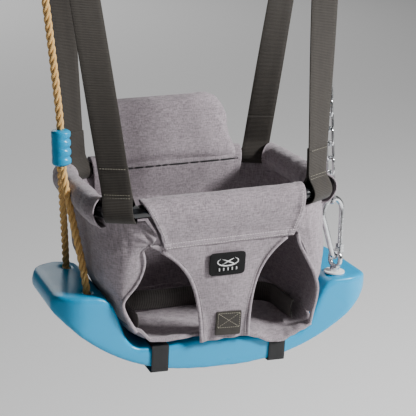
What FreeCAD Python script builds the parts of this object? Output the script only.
import FreeCAD, Part
import math
import os

from FreeCAD import Placement, Rotation, Vector

# A toddler bucket swing: a fabric bucket on a tube rim, hung by webbing, tied onto a curved
# moulded board that hangs by rope on the left and by snap hook and chain on the right.
# Millimetres. X to the right, Y to the back, Z up. The origin is on the hanging axis.

# ---- driving dimensions -------------------------------------------------------------------
DROP = 652.0                # rim centre below the hanging axis
RIM_HALF_X = 165.0
RIM_HALF_Y = 115.0
RIM_CORNER = 45.0           # centreline radius of the rim's corners
RIM_R = 9.0
CLEAR = 0.3                 # gap between pieces that turn or lie on each other

STRAP_W = 40.0
STRAP_T = 2.0
STRAP_TURN = 28.0           # how far round the corner each rim loop sits, degrees
STRAP_LOOP_R = 12.4         # inner radius of the webbing loop round the rim
LAP_LENGTH = 62.0           # doubled webbing above each rim loop
STRAP_TOP_X = 205.0

LINK_R = 4.0                # steel of the top links
LINK_HALF = 44.0
LINK_HEIGHT = 62.0
LINK_LEFT_X = -211.0
LINK_RIGHT_X = 200.0

FABRIC_T = 3.0
TUNNEL_R = 15.0
TUNNEL_TURN = 63.0          # where a side tunnel starts round its corners, degrees
APRON_TOP = -45.0           # heights below are above (+) or below (-) the rim centre
APRON_BOTTOM = -206.0
APRON_TOP_Y = -117.0
APRON_BOTTOM_Y = -92.0
LOWER_SHIFT = 12.0          # how far the bucket's bottom hangs to the right of its rim
BACKREST_TOP = 103.0
BACKREST_LEAN = 15.0        # degrees
BACKREST_HALF = 109.0
BACKREST_T = 17.0

BAND_HALF = 119.0           # half width of the ribbed webbing band inside
BAND_BACK = 25.0
BAND_FRONT = -66.0
BAND_TURN = 22.0
BAND_LOW = 17.0             # its lower edge above the board's middle
BAND_HEIGHT = 30.0
BAND_T = 2.5

BOARD_X = 9.0
BOARD_Z = -213.0            # seat surface at mid length
BOARD_ROLL = 3.0            # the board hangs a little lower on its right, degrees
BOARD_HALF_Y = 83.0
BOARD_WALL = 6.0
BOARD_EDGE = 13.0           # thickness of the long edges
SHOULDER_Z = 80.0           # flat tops of the raised ends, above the seat surface
HOLE_X = 186.0
HOLE_Y = 55.0
HOLE_R = 7.0
BOARD_STRAP_X = 88.0
BOARD_STRAP_W = 25.0
BOARD_STRAP_T = 1.6

ROPE_R = 5.25
ROPE_TOP_X = -232.0
CLAMP_X = -188.0
CLAMP_LOW = 41.0
CLAMP_R = 13.5
CLAMP_RIBS = 4
CLAMP_PITCH = 12.4
LEG_START_Y = 5.8

CHAIN_WIRE_R = 2.0
CHAIN_BOW_R = LINK_R + CLEAR   # inner radius of a chain link's bows
CHAIN_LINKS = 33
CHAIN_TOP_X = 178.0
HOOK_R = 4.0
HOOK_TOP_R = 19.5
HOOK_LOW_R = 8.0
HOOK_SPAN = 80.0            # from the hook's crown to the centre of its small end
HOOK_TURN = 20.0            # turn of the hook's plane about the vertical, degrees
HOOK_LEAN = Vector(-0.105, 0.035, 0.994)
EYE_WIRE_R = 3.5
EYE_BOW_R = 9.5
EYE_STRAIGHT = 4.0
EYE_RISE = 29.5             # centre of the eye's upper bow above the washer
BOLT_R = 4.0

os.makedirs("parts", exist_ok=True)


# ---- helpers --------------------------------------------------------------------------------
def at(x, y, z):
    """A point whose height is measured from the rim's centre."""
    return Vector(x, y, z - DROP)


def save(name, *solids):
    shape = solids[0] if len(solids) == 1 else Part.makeCompound(list(solids))
    shape.exportStep("parts/" + name + ".step")
    print(name, len(shape.Solids), round(shape.Volume, 1), shape.isValid())


def unit(v):
    return Vector(v).normalize()


def board_placement():
    return Placement(at(BOARD_X, 0, BOARD_Z), Rotation(Vector(0, 1, 0), BOARD_ROLL))


def on_board(shape):
    """Moves a shape from the board's own frame to where the board hangs."""
    moved = shape.copy()
    moved.Placement = board_placement().multiply(moved.Placement)
    return moved


def board_point(x, y, z):
    return board_placement().multVec(Vector(x, y, z))


def frame_at(origin, x_dir, z_dir):
    z_axis = unit(z_dir)
    y_axis = unit(z_axis.cross(x_dir))
    x_axis = y_axis.cross(z_axis)
    return Placement(origin, Rotation(x_axis, y_axis, z_axis, "ZXY"))


def tube(wire, radius):
    """A round bar along a wire."""
    edge = wire.OrderedEdges[0]
    start = edge.valueAt(edge.FirstParameter)
    along = edge.tangentAt(edge.FirstParameter)
    if edge.Orientation == "Reversed":
        start = edge.valueAt(edge.LastParameter)
        along = edge.tangentAt(edge.LastParameter)
    section = Part.Wire(Part.makeCircle(radius, start, along))
    swept = wire.makePipe(Part.Face(section))
    return swept.Solids[0] if swept.Solids else Part.Solid(swept.Shells[0])


def arc_corner(before, corner, after, radius):
    """The arc of that radius that rounds a corner, as (start, middle, end)."""
    to_before = unit(before - corner)
    to_after = unit(after - corner)
    half = to_before.getAngle(to_after) / 2
    back = radius / math.tan(half)
    bisector = unit(to_before + to_after)
    centre = corner + bisector * (radius / math.sin(half))
    return corner + to_before * back, centre - bisector * radius, corner + to_after * back


def rounded_loop(points, radii):
    """A closed wire of straight runs with one arc at each point."""
    count = len(points)
    arcs = [arc_corner(points[i - 1], points[i], points[(i + 1) % count], radii[i])
            for i in range(count)]
    edges = []
    for i, (start, middle, end) in enumerate(arcs):
        edges.append(Part.Arc(start, middle, end).toShape())
        following = arcs[(i + 1) % count][0]
        if (following - end).Length > 1e-6:
            edges.append(Part.LineSegment(end, following).toShape())
    return Part.Wire(edges)


def route_wire(points, name):
    """Straight runs joined by tangent arcs, each as large as its two runs allow."""
    edges = []
    reached = points[0]
    for i in range(1, len(points) - 1):
        before, corner, after = points[i - 1], points[i], points[i + 1]
        turn = math.pi - (before - corner).getAngle(after - corner)
        shorter = min((corner - before).Length, (after - corner).Length)
        radius = 0.45 * shorter / math.tan(turn / 2)
        start, middle, end = arc_corner(before, corner, after, radius)
        edges.append(Part.LineSegment(reached, start).toShape())
        edges.append(Part.Arc(start, middle, end).toShape())
        reached = end
        print(name, "bend radius", round(radius, 1))
    edges.append(Part.LineSegment(reached, points[-1]).toShape())
    return Part.Wire(edges)


def cord(points, radius, name):
    wire = route_wire(points, name)
    solid = tube(wire, radius)
    share = solid.Volume / (math.pi * radius ** 2 * wire.Length)
    print(name, "length", round(wire.Length, 1), "volume share", round(share, 4))
    return solid


def stadium(half_straight, radius):
    """A closed wire in the XZ plane: two half circles joined by two lines along Z."""
    top = [Vector(radius, 0, half_straight), Vector(0, 0, half_straight + radius),
           Vector(-radius, 0, half_straight)]
    low = [Vector(-radius, 0, -half_straight), Vector(0, 0, -half_straight - radius),
           Vector(radius, 0, -half_straight)]
    return Part.Wire([
        Part.Arc(*top).toShape(),
        Part.LineSegment(top[2], low[0]).toShape(),
        Part.Arc(*low).toShape(),
        Part.LineSegment(low[2], top[0]).toShape(),
    ])


def placed(shape, placement):
    moved = shape.copy()
    moved.Placement = placement.multiply(moved.Placement)
    return moved


def polygon(points):
    return Part.makePolygon(list(points) + [points[0]])


def plate(points, push):
    """A flat plate: an outline of points, thickened by the vector push."""
    return Part.Face(polygon(points)).extrude(push)


def lower_centre(z):
    """X of the bucket's middle at height z: it drifts to the right towards the board."""
    return LOWER_SHIFT * min(1.0, max(0.0, z / APRON_BOTTOM))


# ---- top links, rim and hanging straps --------------------------------------------------------
def hanger_link(x):
    """A steel delta link: a straight lower bar along X under a narrow rounded top."""
    corners = [Vector(x - LINK_HALF, 0, 0), Vector(x + LINK_HALF, 0, 0),
               Vector(x + 13, 0, LINK_HEIGHT), Vector(x - 13, 0, LINK_HEIGHT)]
    return tube(rounded_loop(corners, [8, 8, 12, 12]), LINK_R)


def rim_wire():
    corners = [at(-RIM_HALF_X, -RIM_HALF_Y, 0), at(RIM_HALF_X, -RIM_HALF_Y, 0),
               at(RIM_HALF_X, RIM_HALF_Y, 0), at(-RIM_HALF_X, RIM_HALF_Y, 0)]
    return rounded_loop(corners, [RIM_CORNER] * 4)


def loop_frame(side, end):
    """Centre and width direction of one rim loop: side is -1 left, end is -1 front."""
    turn = math.radians(STRAP_TURN)
    sagitta = RIM_CORNER - math.sqrt(RIM_CORNER ** 2 - (STRAP_W / 2) ** 2)
    reach = RIM_CORNER - sagitta / 2
    x = side * (RIM_HALF_X - RIM_CORNER + reach * math.sin(turn))
    y = end * (RIM_HALF_Y - RIM_CORNER + reach * math.cos(turn))
    return at(x, y, 0), Vector(math.cos(turn), -side * end * math.sin(turn), 0)


def ribbon(low, high, low_width, high_width, thickness, steps=4):
    """Flat webbing from low to high whose width turns evenly from one direction to another."""
    along = unit(high - low)
    sections = []
    for i in range(steps + 1):
        share = i / steps
        centre = low + (high - low) * share
        wide = low_width * (1 - share) + high_width * share
        wide = unit(wide - along * wide.dot(along)) * (STRAP_W / 2)
        thick = unit(along.cross(wide)) * (thickness / 2)
        sections.append(polygon([centre - wide - thick, centre + wide - thick,
                                 centre + wide + thick, centre - wide + thick]))
    return Part.makeLoft(sections, True, True)


def band(centre, axis, inner, outer, width):
    """A ring of webbing round a bar."""
    start = centre - axis * (width / 2)
    ring = Part.makeCylinder(outer, width, start, axis)
    return ring.cut(Part.makeCylinder(inner, width, start, axis))


def strap_leg(side, end, top):
    """One leg of a hanging strap, with its sewn loop round the rim."""
    centre, wide = loop_frame(side, end)
    along = unit(top - centre)
    foot = centre + along * (STRAP_LOOP_R + STRAP_T / 2)
    share = LAP_LENGTH / (top - foot).Length
    turned = unit(wide * (1 - share) + Vector(share, 0, 0))
    lap_top = foot + (top - foot) * share
    loop = band(centre, wide, STRAP_LOOP_R, STRAP_LOOP_R + STRAP_T, STRAP_W + 0.4)
    lap = ribbon(foot, lap_top, wide, turned, 2 * STRAP_T, 1)
    leg = ribbon(lap_top, top, turned, Vector(1, 0, 0), STRAP_T)
    return loop.fuse([lap.fuse(leg)])


def hanging_strap(side):
    """Front loop, over the top link, back loop: one length of webbing."""
    hub = Vector(side * STRAP_TOP_X, 0, 0)
    inner = LINK_R + CLEAR
    sewn = 0.15
    middle_r = inner + sewn + STRAP_T / 2
    tilt = math.atan2(RIM_HALF_Y - 5, DROP)
    wrap = band(hub, Vector(1, 0, 0), inner, inner + STRAP_T + 2 * sewn, STRAP_W + 2 * sewn)
    shade = Part.makeBox(STRAP_W + 2, 60, 60, hub - Vector(STRAP_W / 2 + 1, 30, 60))
    wrap = wrap.cut(shade)
    legs = []
    for end in (-1, 1):
        out = Vector(0, end * math.cos(tilt), math.sin(tilt)) * middle_r
        legs.append(strap_leg(side, end, hub + out))
    return wrap.fuse(legs).removeSplitter()


# ---- fabric bucket ------------------------------------------------------------------------------
def long_tunnel(end):
    """The sleeve over the front (-1) or back (1) rim bar: round above, sewn flat below."""
    half = RIM_HALF_X - RIM_CORNER - 11
    hub = at(-half, end * RIM_HALF_Y, 0)
    sleeve = Part.makeCylinder(TUNNEL_R, 2 * half, hub, Vector(1, 0, 0))
    low_y = end * (abs(APRON_TOP_Y) - FABRIC_T)
    skirt = plate([at(-half, end * (RIM_HALF_Y + 13), -7), at(-half, end * (RIM_HALF_Y - 13), -7),
                   at(-half, low_y, APRON_TOP), at(-half, low_y + end * 6, APRON_TOP)],
                  Vector(2 * half, 0, 0))
    bore = Part.makeCylinder(RIM_R + CLEAR, 2 * half, hub, Vector(1, 0, 0))
    return sleeve.fuse(skirt).cut(bore).removeSplitter()


def side_tunnel(side):
    """The sleeve over a side bar and halfway round its two corners."""
    turn = math.radians(TUNNEL_TURN)
    inner_x = RIM_HALF_X - RIM_CORNER
    inner_y = RIM_HALF_Y - RIM_CORNER

    def corner(end, angle):
        return at(side * (inner_x + RIM_CORNER * math.sin(angle)),
                  end * (inner_y + RIM_CORNER * math.cos(angle)), 0)

    quarter = math.pi / 2
    middle = (turn + quarter) / 2
    wire = Part.Wire([
        Part.Arc(corner(-1, turn), corner(-1, middle), corner(-1, quarter)).toShape(),
        Part.LineSegment(corner(-1, quarter), corner(1, quarter)).toShape(),
        Part.Arc(corner(1, quarter), corner(1, middle), corner(1, turn)).toShape(),
    ])
    return tube(wire, TUNNEL_R - 1.5).cut(tube(wire, RIM_R + CLEAR))


def apron_y(z):
    share = (z - APRON_TOP) / (APRON_BOTTOM - APRON_TOP)
    return APRON_TOP_Y + share * (APRON_BOTTOM_Y - APRON_TOP_Y)


def apron_half(z):
    """Half width of the apron: wide at the tunnel, a narrow tongue at the crotch."""
    tongue = 34.0
    return tongue + (112.0 - tongue) * math.exp(-(APRON_TOP - z) / 38.0)


def front_apron():
    heights = [APRON_TOP - 0.5 - i * (APRON_TOP - 0.5 - APRON_BOTTOM) / 8 for i in range(9)]
    edges = []
    for side in (-1, 1):
        curve = Part.BSplineCurve()
        curve.interpolate([at(lower_centre(z) + side * apron_half(z), apron_y(z), z)
                           for z in heights])
        edges.append(curve.toShape())
    ends = [[e.valueAt(e.FirstParameter), e.valueAt(e.LastParameter)] for e in edges]
    top = Part.LineSegment(ends[0][0], ends[1][0]).toShape()
    low = Part.LineSegment(ends[0][1], ends[1][1]).toShape()
    face = Part.Face(Part.Wire([top, edges[1], low, edges[0]]))
    return face.extrude(Vector(0, -FABRIC_T, 0))


def apron_front(x, z, proud=0.2):
    """A point just in front of the apron's face."""
    return at(x, apron_y(z) - FABRIC_T - proud, z)


def patch(x_low, x_high, z_low, z_high, thickness):
    corners = [apron_front(x_low, z_low), apron_front(x_high, z_low),
               apron_front(x_high, z_high), apron_front(x_low, z_high)]
    return plate(corners, Vector(0, -thickness, 0))


def hole_edge(side):
    """The outer edge of one leg hole, from under the tunnel down to the board's shoulder."""
    steps = [(116, -111, -58), (121, -106, -88), (131, -101, -116), (137, -96, -142),
             (134, -92, -168), (121, -90, -192)]
    return [at(lower_centre(z) + side * x, y, z - side * x * math.tan(math.radians(BOARD_ROLL)) / 2)
            for x, y, z in steps]


def leg_binding(side):
    """The corded edge of a side panel where it meets the leg hole."""
    curve = Part.BSplineCurve()
    curve.interpolate(hole_edge(side))
    return tube(Part.Wire(curve.toShape()), 2.4)


def side_panel(side):
    """A fabric side: under the side tunnel, round both corners and in towards the board."""
    lean = side * math.tan(math.radians(BOARD_ROLL))
    rings = [
        (-16, [(124, -112), (143, -104), (157, -88), (163, -62), (165, 0), (163, 62), (152, 90)]),
        (-92, [(127, -104), (147, -96), (161, -78), (168, -50), (170, 0), (167, 52), (150, 84)]),
        (-150, [(136, -89), (141, -82), (145, -68), (147, -42), (148, 0), (146, 46), (137, 80)]),
        (-178, [(124, -87), (127, -80), (130, -66), (132, -40), (132, 0), (131, 44), (125, 78)]),
    ]
    sections = []
    for z, outline in rings:
        outer = []
        inner = []
        tilt = lean if z < -100 else 0.0

        def height(x):
            return z - tilt * x

        for x, y in outline:
            near_corner = abs(y) > 70
            inward = FABRIC_T * (0.6 if near_corner else 1.0)
            along = math.copysign(FABRIC_T * 0.8, y) if near_corner else 0.0
            outer.append(at(lower_centre(z) + side * x, y, height(x)))
            inner.append(at(lower_centre(z) + side * (x - inward), y - along, height(x - inward)))
        sections.append(polygon(outer + inner[::-1]))
    return Part.makeLoft(sections, True, True)


def rear_panel():
    """The fabric back between the rear tunnel and the seat."""
    upper = [at(-116, 113, APRON_TOP - 1), at(116, 113, APRON_TOP - 1)]
    lower = [at(lower_centre(-190) + 104, 84, -190), at(lower_centre(-190) - 104, 84, -190)]
    return plate(upper + lower, Vector(0, FABRIC_T, 0))


def backrest_outline(inset, low):
    half = BACKREST_HALF - inset
    height = BACKREST_TOP / math.cos(math.radians(BACKREST_LEAN)) - inset
    round_r = 36.0 - inset
    points = [Vector(-half, 0, low + inset), Vector(half, 0, low + inset),
              Vector(half, 0, height), Vector(-half, 0, height)]
    return rounded_loop(points, [4, 4, round_r, round_r])


def backrest(inset, thickness):
    """The padded back above the rear bar, leaning back."""
    low = TUNNEL_R + 1.5
    face = Part.Face(backrest_outline(inset, low))
    body = face.extrude(Vector(0, thickness, 0))
    body.translate(Vector(0, -thickness / 2, 0))
    return placed(body, Placement(at(0, RIM_HALF_Y, 0), Rotation(Vector(1, 0, 0), -BACKREST_LEAN)))


def seat_profile(x):
    """Height of the board's top along its length, above its middle."""
    rise = 1 / (1 + math.exp(-(abs(x) - 146.0) / 7.5))
    return 6.0 * math.cos(min(abs(x), 80.0) / 80.0 * math.pi / 2) + SHOULDER_Z * rise


def under_profile(x):
    """Height of the board's lower edge along its length."""
    return -39.0 + 92.0 * (abs(x) / 232.0) ** 2.6


def seat_panel():
    """The padded seat cloth that lies in the board's hollow."""
    xs = [-132 + 12 * i for i in range(23)]
    low = [Vector(x, 0, seat_profile(x) + 6) for x in xs]
    high = [Vector(x, 0, seat_profile(x) + 10) for x in reversed(xs)]
    body = plate(low + high, Vector(0, 156, 0))
    return on_board(placed(body, Placement(Vector(0, -76, 0), Rotation())))


def front_flap(side):
    """The tongue of seat cloth that folds down over the board's front edge."""
    near = side * 38.0
    tie = side * BOARD_STRAP_X
    far = side * 122.0
    outline = [Vector(near, 0, 22), Vector(far, 0, 46), Vector(far, 0, 22),
               Vector(tie + side * 14, 0, 1), Vector(tie - side * 14, 0, 0), Vector(near, 0, 11)]
    if side < 0:
        outline.reverse()
    body = plate(outline, Vector(0, FABRIC_T - 1, 0))
    return on_board(placed(body, Placement(Vector(0, -BOARD_HALF_Y - 4.5, 0), Rotation())))


def seat_webbing():
    """The ribbed webbing inside: across the bucket at seat level, then forward along both sides."""
    def block(inset):
        half = BAND_HALF - inset
        corners = [Vector(-half, -2 * half, BAND_LOW), Vector(half, -2 * half, BAND_LOW),
                   Vector(half, BAND_BACK - inset, BAND_LOW),
                   Vector(-half, BAND_BACK - inset, BAND_LOW)]
        turn = BAND_TURN - inset
        return Part.Face(rounded_loop(corners, [turn] * 4)).extrude(Vector(0, 0, BAND_HEIGHT))

    beyond = Part.makeBox(4 * BAND_HALF, 4 * BAND_HALF, 2 * BAND_HEIGHT,
                          Vector(-2 * BAND_HALF, BAND_FRONT - 4 * BAND_HALF, 0))
    return on_board(block(0).cut(block(BAND_T)).cut(beyond))


# ---- board and what ties the bucket to it -------------------------------------------------------
def side_outline(lift, xs):
    """The board's side view between its top and its lower edge."""
    top = Part.BSplineCurve()
    top.interpolate([Vector(x, 0, seat_profile(x) - lift) for x in xs])
    return top.toShape()


def board():
    """A curved moulded tray, open below, with thick long edges and a hole at each corner."""
    end_x = 228.0
    xs = [-end_x + 2 * end_x * i / 48 for i in range(49)]
    top = side_outline(0, xs)
    under = Part.BSplineCurve()
    under.interpolate([Vector(x, 0, under_profile(x)) for x in reversed(xs)])
    under = under.toShape()
    tips = []
    for sign in (1, -1):
        high = Vector(sign * end_x, 0, seat_profile(end_x))
        low = Vector(sign * end_x, 0, under_profile(end_x))
        bulge = Vector(sign * (end_x + 9), 0, (high.z + low.z) / 2)
        tips.append(Part.Arc(high, bulge, low).toShape())
    side_view = Part.Face(Part.Wire([top, tips[0], under, tips[1]]))
    body = side_view.extrude(Vector(0, 2 * BOARD_HALF_Y, 0))
    body.translate(Vector(0, -BOARD_HALF_Y, 0))
    plan = rounded_loop([Vector(-240, -BOARD_HALF_Y, -60), Vector(240, -BOARD_HALF_Y, -60),
                         Vector(240, BOARD_HALF_Y, -60), Vector(-240, BOARD_HALF_Y, -60)], [48] * 4)
    body = body.common(Part.Face(plan).extrude(Vector(0, 0, 200)))
    body = body.cut(board_hollow())
    for x in (-HOLE_X, HOLE_X):
        for y in (-HOLE_Y, HOLE_Y):
            body = body.cut(Part.makeCylinder(HOLE_R, 40, Vector(x, y, SHOULDER_Z - 20)))
    return on_board(body)


def board_hollow():
    """The space under the board's skin, between its long edges."""
    reach = 214.0
    xs = [-reach + 2 * reach * i / 44 for i in range(45)]
    top = side_outline(BOARD_WALL, xs)
    drop = -80.0
    left = Vector(-reach, 0, seat_profile(reach) - BOARD_WALL)
    right = Vector(reach, 0, seat_profile(reach) - BOARD_WALL)
    rest = Part.makePolygon([right, Vector(reach, 0, drop), Vector(-reach, 0, drop), left])
    face = Part.Face(Part.Wire([top] + rest.Edges))
    half = BOARD_HALF_Y - BOARD_EDGE
    hollow = face.extrude(Vector(0, 2 * half, 0))
    hollow.translate(Vector(0, -half, 0))
    return hollow


def board_strap(side):
    """A band of webbing right round the board, sewn to the flap at the front."""
    half = BOARD_HALF_Y + 1.0
    x = side * BOARD_STRAP_X
    low = min(under_profile(x - BOARD_STRAP_W / 2), under_profile(x + BOARD_STRAP_W / 2)) - 1.0
    high = max(seat_profile(x - BOARD_STRAP_W / 2), seat_profile(x + BOARD_STRAP_W / 2)) + 1.0
    start = x - BOARD_STRAP_W / 2

    def around(grow, radius):
        points = [Vector(start, -half - grow, low - grow), Vector(start, half + grow, low - grow),
                  Vector(start, half + grow, high + grow), Vector(start, -half - grow, high + grow)]
        return Part.Face(rounded_loop(points, [radius] * 4))

    outer = around(BOARD_STRAP_T, 4.0 + BOARD_STRAP_T).extrude(Vector(BOARD_STRAP_W, 0, 0))
    inner = around(0, 4.0).extrude(Vector(BOARD_STRAP_W, 0, 0))
    return on_board(outer.cut(inner)), low - BOARD_STRAP_T / 2


def strap_slider(side, strap_z):
    """A moulded slider that the board strap runs through, under the board."""
    x = side * BOARD_STRAP_X
    window_w = BOARD_STRAP_W + 1.0
    window_t = BOARD_STRAP_T + 2 * CLEAR
    wall = 3.0
    body = Part.makeBox(window_w + 2 * wall, 24, window_t + 3.2)
    body.translate(Vector(x - window_w / 2 - wall, -12, strap_z - window_t / 2 - 1.6))
    window = Part.makeBox(window_w, 26, window_t)
    window.translate(Vector(x - window_w / 2, -13, strap_z - window_t / 2))
    body = body.cut(window)
    for y in (-8.5, 2.5):
        slot = Part.makeBox(window_w - 1, 6, 10)
        slot.translate(Vector(x - window_w / 2 + 0.5, y, strap_z - window_t / 2 - 9))
        body = body.cut(slot)
    return on_board(body)


# ---- rope side ------------------------------------------------------------------------------------
def rope_clamp():
    """The moulded sleeve that gathers the two rope legs into one rope."""
    points = [Vector(0, 0, 0), Vector(CLAMP_R - 2, 0, 0)]
    edges = [Part.LineSegment(points[0], points[1]).toShape()]
    reached = points[1]
    for i in range(CLAMP_RIBS):
        top = Vector(CLAMP_R - 2, 0, (i + 1) * CLAMP_PITCH)
        middle = Vector(CLAMP_R, 0, (i + 0.5) * CLAMP_PITCH)
        edges.append(Part.Arc(reached, middle, top).toShape())
        reached = top
    crown = Vector(0, 0, reached.z)
    edges.append(Part.LineSegment(reached, crown).toShape())
    edges.append(Part.LineSegment(crown, points[0]).toShape())
    body = Part.Face(Part.Wire(edges)).revolve(Vector(0, 0, 0), Vector(0, 0, 1), 360)
    body.translate(at(CLAMP_X, 0, CLAMP_LOW))
    return body


def main_rope_points():
    foot = at(CLAMP_X, 0, CLAMP_LOW + CLAMP_RIBS * CLAMP_PITCH)
    head = Vector(ROPE_TOP_X, 0, -52)
    return [foot, foot + Vector(0, 0, 30), head - Vector(0, 0, 30), head]


def rope_leg_points(end):
    foot = at(CLAMP_X, end * LEG_START_Y, CLAMP_LOW)
    under = board_point(-HOLE_X, end * HOLE_Y, SHOULDER_Z - BOARD_WALL - 3)
    above = board_point(-HOLE_X, end * HOLE_Y, SHOULDER_Z + 9)
    return [foot, foot - Vector(0, 0, 18), above, under]


def stopper_knot(end):
    """The knot that stops a rope leg under the board's skin."""
    top = board_point(-HOLE_X, end * HOLE_Y, SHOULDER_Z - BOARD_WALL - 3)
    ball = Part.makeSphere(12.0)
    ball = ball.common(Part.makeBox(40, 40, 19, Vector(-20, -20, -11)))
    return placed(ball, Placement(top, Rotation(Vector(0, 1, 0), BOARD_ROLL)).multiply(
        Placement(Vector(0, 0, -8), Rotation())))


def rope_eye():
    """The loop of rope over the left link's bar."""
    loop = tube(stadium(7.0, LINK_R + CLEAR + ROPE_R), ROPE_R)
    return placed(loop, frame_at(Vector(ROPE_TOP_X, 0, -7), Vector(0, 1, 0), Vector(0, 0, 1)))


def rope_whipping():
    """The binding under the loop that closes it."""
    body = Part.makeCylinder(10.5, 22, Vector(ROPE_TOP_X, 0, -52))
    return body.makeFillet(3.0, [e for e in body.Edges if len(e.Vertexes) == 1])


# ---- chain side -----------------------------------------------------------------------------------
def eye_crown():
    """Centre of the eye's upper bow, which the hook's small end goes round."""
    return board_point(HOLE_X, -HOLE_Y, SHOULDER_Z + 2 + EYE_RISE)


def hook_placement():
    """The hook's own frame: origin at its crown, Z along its length, X across its plane."""
    turn = math.radians(HOOK_TURN)
    across = Vector(math.cos(turn), math.sin(turn), 0)
    up = unit(HOOK_LEAN)
    return frame_at(eye_crown() + up * HOOK_SPAN, across, up)


def hook_tangents():
    """Where the hook's straight sides leave its two ends, on its +X side."""
    high = Vector(0, 0, -HOOK_TOP_R)
    low = Vector(0, 0, -HOOK_SPAN)
    drop = (HOOK_TOP_R - HOOK_LOW_R) / (high.z - low.z)
    out = Vector(math.sqrt(1 - drop ** 2), 0, -drop)
    return high + out * HOOK_TOP_R, low + out * HOOK_LOW_R


def gate_line():
    """Pivot and nose of the gate, on the hook's +X side."""
    high, low = hook_tangents()
    up = unit(high - low)
    return low + up * 6.0, high - up * 1.0, up


def hook_body():
    """The bent steel of the snap hook, with two cheeks for the gate's pin."""
    high, low = hook_tangents()
    pivot, nose, up = gate_line()
    left_high = Vector(-high.x, 0, high.z)
    left_low = Vector(-low.x, 0, low.z)
    crown = Vector(0, 0, 0)
    toe = Vector(0, 0, -HOOK_SPAN - HOOK_LOW_R)
    wire = Part.Wire([
        Part.LineSegment(nose + up * 0.5, high).toShape(),
        Part.Arc(high, crown, left_high).toShape(),
        Part.LineSegment(left_high, left_low).toShape(),
        Part.Arc(left_low, toe, low).toShape(),
        Part.LineSegment(low, pivot - up * 5.0).toShape(),
    ])
    body = tube(wire, HOOK_R)
    along = frame_at(pivot, Vector(0, 1, 0), up)
    cheeks = []
    for side in (-1, 1):
        cheek = Part.makeBox(1.8, 7.0, 12.0, Vector(side * 4.1 - 0.9, -3.5, -8.0))
        cheeks.append(placed(cheek, along))
    body = body.fuse(cheeks)
    bore = Part.makeCylinder(1.5, 14, pivot - Vector(0, 7, 0), Vector(0, 1, 0))
    return placed(body.cut(bore), hook_placement())


def gate_pin():
    pivot = gate_line()[0]
    pin = Part.makeCylinder(1.5, 10.4, pivot - Vector(0, 5.2, 0), Vector(0, 1, 0))
    return placed(pin, hook_placement())


def hook_gate():
    """The gate bar, flattened between the cheeks, that springs shut against the nose."""
    pivot, nose, up = gate_line()
    length = (nose - pivot).Length
    bar = Part.makeCylinder(3.5, length, Vector(0, 0, 0))
    foot = Part.makeSphere(3.5)
    flat = Part.makeBox(5.8, 9, length + 10, Vector(-2.9, -4.5, -5))
    low = bar.fuse(foot).common(flat).common(Part.makeBox(20, 20, 12, Vector(-10, -10, -6)))
    high = bar.common(Part.makeBox(20, 20, length, Vector(-10, -10, 5.5)))
    body = low.fuse(high)
    body = body.cut(Part.makeCylinder(1.56, 20, Vector(-10, 0, 0), Vector(1, 0, 0)))
    return placed(placed(body, frame_at(pivot, Vector(0, 1, 0), up)), hook_placement())


def chain():
    """A straight taut chain from the hook's crown to the right link's bar."""
    low = hook_placement().Base
    high = Vector(CHAIN_TOP_X, 0, 0)
    up = unit(high - low)
    steps = CHAIN_LINKS - 1
    inner = ((high - low).Length + 2 * CHAIN_BOW_R + steps * CLEAR) / CHAIN_LINKS
    pitch = inner - CLEAR
    turn = math.radians(HOOK_TURN)
    link = tube(stadium(inner / 2 - CHAIN_BOW_R, CHAIN_BOW_R + CHAIN_WIRE_R), CHAIN_WIRE_R)
    print("chain pitch", round(pitch, 2), "links", CHAIN_LINKS)
    links = []
    for i in range(CHAIN_LINKS):
        angle = math.radians(90 * i) + turn * (1 - i / steps)
        normal = Vector(math.cos(angle), math.sin(angle), 0)
        centre = low + up * (inner / 2 - CHAIN_BOW_R + i * pitch)
        links.append(placed(link, frame_at(centre, up.cross(normal), up)))
    return links


def eye_bolt():
    """A steel eye on a shank that goes down through the board."""
    ring = tube(stadium(EYE_STRAIGHT / 2, EYE_BOW_R), EYE_WIRE_R)
    centre = Vector(0, 0, 2 + EYE_RISE - EYE_BOW_R - EYE_STRAIGHT / 2)
    ring = placed(ring, Placement(centre, Rotation(Vector(0, 0, 1), 90 + HOOK_TURN)))
    collar = Part.makeCylinder(7.0, 5.5, Vector(0, 0, 2))
    shank = Part.makeCylinder(BOLT_R, 27, Vector(0, 0, -23))
    body = ring.fuse([collar, shank])
    body.translate(Vector(HOLE_X, -HOLE_Y, SHOULDER_Z))
    return on_board(body)


def washer(radius, z, thickness):
    ring = Part.makeCylinder(radius, thickness, Vector(HOLE_X, -HOLE_Y, z))
    return on_board(ring.cut(Part.makeCylinder(BOLT_R, thickness, Vector(HOLE_X, -HOLE_Y, z))))


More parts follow.
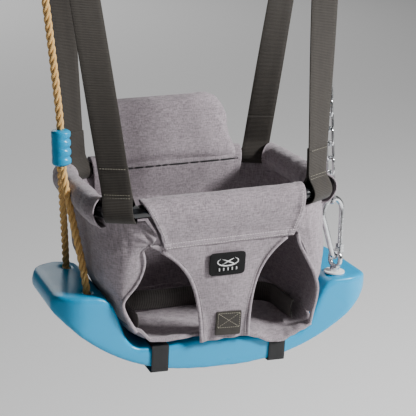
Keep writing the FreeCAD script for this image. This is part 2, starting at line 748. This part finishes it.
def lock_nut(z):
    corners = [Vector(HOLE_X + 7.5 * math.cos(math.radians(60 * i)),
                      -HOLE_Y + 7.5 * math.sin(math.radians(60 * i)), z) for i in range(6)]
    nut = plate(corners, Vector(0, 0, 7))
    return on_board(nut.cut(Part.makeCylinder(BOLT_R, 7, Vector(HOLE_X, -HOLE_Y, z))))


# ---- write every piece ----------------------------------------------------------------------------
save("hanger_link_left", hanger_link(LINK_LEFT_X))
save("hanger_link_right", hanger_link(LINK_RIGHT_X))
save("rim_frame", tube(rim_wire(), RIM_R))
save("front_tunnel", long_tunnel(-1))
save("rear_tunnel", long_tunnel(1))
save("front_apron", front_apron())
save("label_patch", patch(-21, 33, -102, -67, 1.2))
save("crotch_patch", patch(-6, 34, -196, -158, 1.6))
save("rear_panel", rear_panel())
foam = backrest(2.5, BACKREST_T - 5)
save("backrest_foam", foam)
save("backrest_cover", backrest(0, BACKREST_T).cut(foam))
save("seat_panel", seat_panel())
save("seat_webbing", seat_webbing())
save("board", board())
for side, name in ((-1, "left"), (1, "right")):
    save("strap_" + name, hanging_strap(side))
    save("side_tunnel_" + name, side_tunnel(side))
    save("side_panel_" + name, side_panel(side))
    save("leg_binding_" + name, leg_binding(side))
    save("front_flap_" + name, front_flap(side))
    loop, loop_z = board_strap(side)
    save("board_strap_" + name, loop)
    save("board_strap_slider_" + name, strap_slider(side, loop_z))
save("rope_clamp", rope_clamp())
save("rope_main", cord(main_rope_points(), ROPE_R, "rope_main"))
save("rope_eye", rope_eye())
save("rope_whipping", rope_whipping())
for end, name in ((-1, "front"), (1, "rear")):
    save("rope_" + name + "_leg", cord(rope_leg_points(end), ROPE_R, name + " leg"))
    save("rope_" + name + "_knot", stopper_knot(end))
save("chain", *chain())
save("hook_body", hook_body())
save("hook_gate", hook_gate())
save("gate_pin", gate_pin())
save("eye_bolt", eye_bolt())
save("eye_washer", washer(15.0, SHOULDER_Z, 2.0))
under_skin = seat_profile(HOLE_X - 12.0) - BOARD_WALL
save("nut_washer", washer(12.0, under_skin - 2.0, 2.0))
save("lock_nut", lock_nut(under_skin - 9.0))
